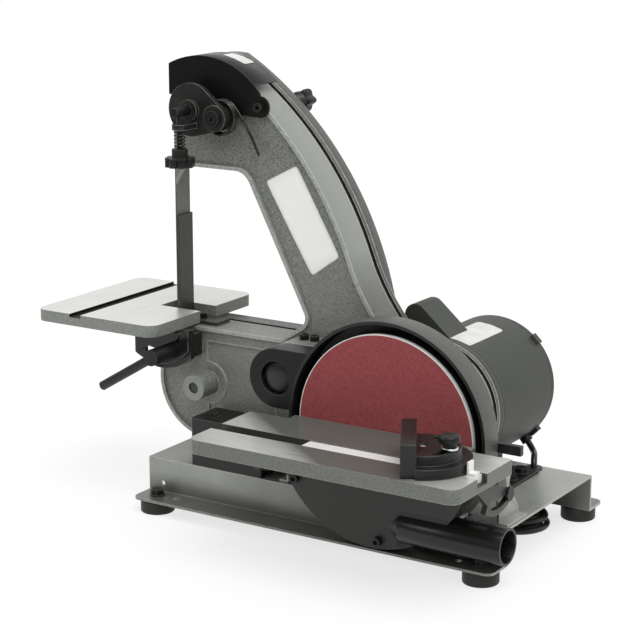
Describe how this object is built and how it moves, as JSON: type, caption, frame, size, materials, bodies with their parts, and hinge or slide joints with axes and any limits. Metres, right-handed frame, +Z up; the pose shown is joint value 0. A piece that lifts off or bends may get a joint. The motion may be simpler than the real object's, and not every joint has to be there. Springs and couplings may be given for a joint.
{
  "type": "bench belt and disc sander",
  "caption": "Bench sander with a narrow upright belt on a C-shaped arm, a round sanding disc, two tilting tables, a miter gauge and a motor on a channel base.",
  "frame": {"origin": "middle of the footprint box, on the floor under the feet", "axes": "+Z up, +X along the base to the disc, +Y back toward the motor"},
  "size_m": [0.5886, 0.379, 0.4943],
  "materials": {
    "base_paint": "satin light grey paint",
    "hammer_paint": "grey hammered paint",
    "ground_iron": "ground top, painted edges",
    "black_paint": "semi-gloss black",
    "grey_sheet": "satin grey",
    "motor_paint": "satin dark grey",
    "black_plastic": "moulded",
    "black_rubber": "moulded",
    "bright_steel": "bright",
    "black_oxide": "black oxide",
    "plain_aluminium": "turned",
    "red_abrasive": "abrasive grain on cloth",
    "cloth_belt": "cloth backing"
  },
  "bodies": {
    "frame": {"rubber_feet": "black_rubber", "arm_casting": "hammer_paint", "side_cover": "hammer_paint", "cover_studs": "black_oxide", "top_guard": "black_paint", "lower_disc_cover": "black_paint", "belt_dust_chute": "black_plastic", "lower_axle": "bright_steel", "sanding_belt": "cloth_belt", "platen": "black_paint", "pivot_bolt": "black_oxide", "torsion_spring": "black_oxide", "belt_table_bracket": "black_paint", "tilt_supports": "grey_sheet", "stay_bar": "black_paint", "motor_front_bell": "motor_paint", "motor_rear_bell": "motor_paint", "motor_shell": "motor_paint", "motor_stator": "bright_steel", "motor_bearings": "bright_steel", "motor_foot": "black_paint", "hex_bolts": "black_oxide", "capacitor_cover": "motor_paint", "lead_gland": "black_plastic", "motor_lead": "black_rubber", "deck_grommet": "black_plastic", "switch_box": "black_paint", "socket_screws": "black_oxide", "base_channel": "base_paint", "strain_relief": "black_rubber", "mains_cord": "black_rubber", "cord_hank": "black_rubber", "plug": "black_rubber"},
    "spindle": {"motor_shaft": "bright_steel", "rotor_core": "bright_steel", "cooling_fan": "black_plastic", "disc_plate": "plain_aluminium", "sanding_disc": "red_abrasive", "drive_wheel": "plain_aluminium"},
    "lower_idler": {"lower_wheel": "plain_aluminium"},
    "tension": {"tension_arm": "black_paint", "tracking_spring": "black_oxide"},
    "tilting_axle": {"upper_axle": "black_oxide"},
    "upper_idler": {"upper_wheel": "plain_aluminium"},
    "tracker": {"tracking_knob": "black_plastic"},
    "knob_top": {"cover_knob_top": "black_plastic"},
    "knob_low": {"cover_knob_low": "black_plastic"},
    "belt_table": {"belt_table": "ground_iron", "belt_table_trunnion": "black_paint"},
    "belt_lock": {"lock_lever": "black_paint"},
    "disc_table": {"disc_table": "ground_iron", "table_trunnions": "hammer_paint"},
    "lock_right": {"table_lock_right": "black_plastic"},
    "lock_left": {"table_lock_left": "black_plastic"},
    "gauge_bar": {"miter_bar": "bright_steel"},
    "gauge_head": {"miter_head": "black_paint"},
    "gauge_knob": {"miter_knob": "black_plastic"},
    "rocker": {"switch_rocker": "black_plastic"}
  },
  "joints": [
    {"name": "spindle_spin", "type": "hinge", "parent": "frame", "child": "spindle", "pos_m": [0.14175, -0.0605, 0.134], "axis": [0, 1, 0], "continuous": true},
    {"name": "lower_idler_spin", "type": "hinge", "parent": "frame", "child": "lower_idler", "pos_m": [-0.11845, 0.0195, 0.134], "axis": [0, 1, 0], "continuous": true},
    {"name": "tension_swing", "type": "hinge", "parent": "frame", "child": "tension", "pos_m": [-0.08725, -0.0265, 0.432], "axis": [0, -1, 0], "range_deg": [0, 8], "deforming": ["sanding_belt", "torsion_spring"]},
    {"name": "axle_tilt", "type": "hinge", "parent": "tension", "child": "tilting_axle", "pos_m": [-0.11845, -0.0215, 0.439], "axis": [1, 0, 0], "range_deg": [-1, 1], "deforming": ["sanding_belt"]},
    {"name": "upper_idler_spin", "type": "hinge", "parent": "tilting_axle", "child": "upper_idler", "pos_m": [-0.11845, 0.0195, 0.439], "axis": [0, 1, 0], "continuous": true},
    {"name": "tracking_turn", "type": "hinge", "parent": "tension", "child": "tracker", "pos_m": [-0.11845, -0.0465, 0.381], "axis": [0, 0, 1], "range_deg": [-360, 360]},
    {"name": "cover_knob_top_turn", "type": "hinge", "parent": "frame", "child": "knob_top", "pos_m": [-0.04775, 0.0655, 0.442], "axis": [0, 1, 0], "range_deg": [-720, 720]},
    {"name": "cover_knob_low_turn", "type": "hinge", "parent": "frame", "child": "knob_low", "pos_m": [-0.05825, 0.0655, 0.164], "axis": [0, 1, 0], "range_deg": [-720, 720]},
    {"name": "belt_table_tilt", "type": "hinge", "parent": "frame", "child": "belt_table", "pos_m": [-0.16425, 0.0195, 0.212], "axis": [0, -1, 0], "range_deg": [0, 45]},
    {"name": "belt_lock_turn", "type": "hinge", "parent": "frame", "child": "belt_lock", "pos_m": [-0.14115, -0.0685, 0.17502], "axis": [0, 1, 0], "range_deg": [-60, 0]},
    {"name": "disc_table_tilt", "type": "hinge", "parent": "frame", "child": "disc_table", "pos_m": [0.14175, -0.0685, 0.126], "axis": [1, 0, 0], "range_deg": [0, 45]},
    {"name": "lock_right_turn", "type": "hinge", "parent": "frame", "child": "lock_right", "pos_m": [0.27075, -0.048, 0.09049], "axis": [1, 0, 0], "range_deg": [-360, 360]},
    {"name": "lock_left_turn", "type": "hinge", "parent": "frame", "child": "lock_left", "pos_m": [0.01275, -0.048, 0.09049], "axis": [1, 0, 0], "range_deg": [-360, 360]},
    {"name": "gauge_slide", "type": "slide", "parent": "disc_table", "child": "gauge_bar", "axis": [1, 0, 0], "range_m": [-0.18, 0.02]},
    {"name": "gauge_swivel", "type": "hinge", "parent": "gauge_bar", "child": "gauge_head", "pos_m": [0.23035, -0.1375, 0.1365], "axis": [0, 0, 1], "range_deg": [-89, 31]},
    {"name": "gauge_knob_turn", "type": "hinge", "parent": "gauge_bar", "child": "gauge_knob", "pos_m": [0.25875, -0.1375, 0.1365], "axis": [0, 0, 1], "range_deg": [-360, 360]},
    {"name": "rocker_tip", "type": "hinge", "parent": "frame", "child": "rocker", "pos_m": [-0.10325, -0.02765, 0.0815], "axis": [0, 1, 0], "range_deg": [0, 12]}
  ],
  "couplings": [
    {"joint": "lower_idler_spin", "follows": "spindle_spin", "ratio": 0.4},
    {"joint": "upper_idler_spin", "follows": "spindle_spin", "ratio": 0.4},
    {"joint": "axle_tilt", "follows": "tracking_turn", "ratio": 0.002778}
  ]
}
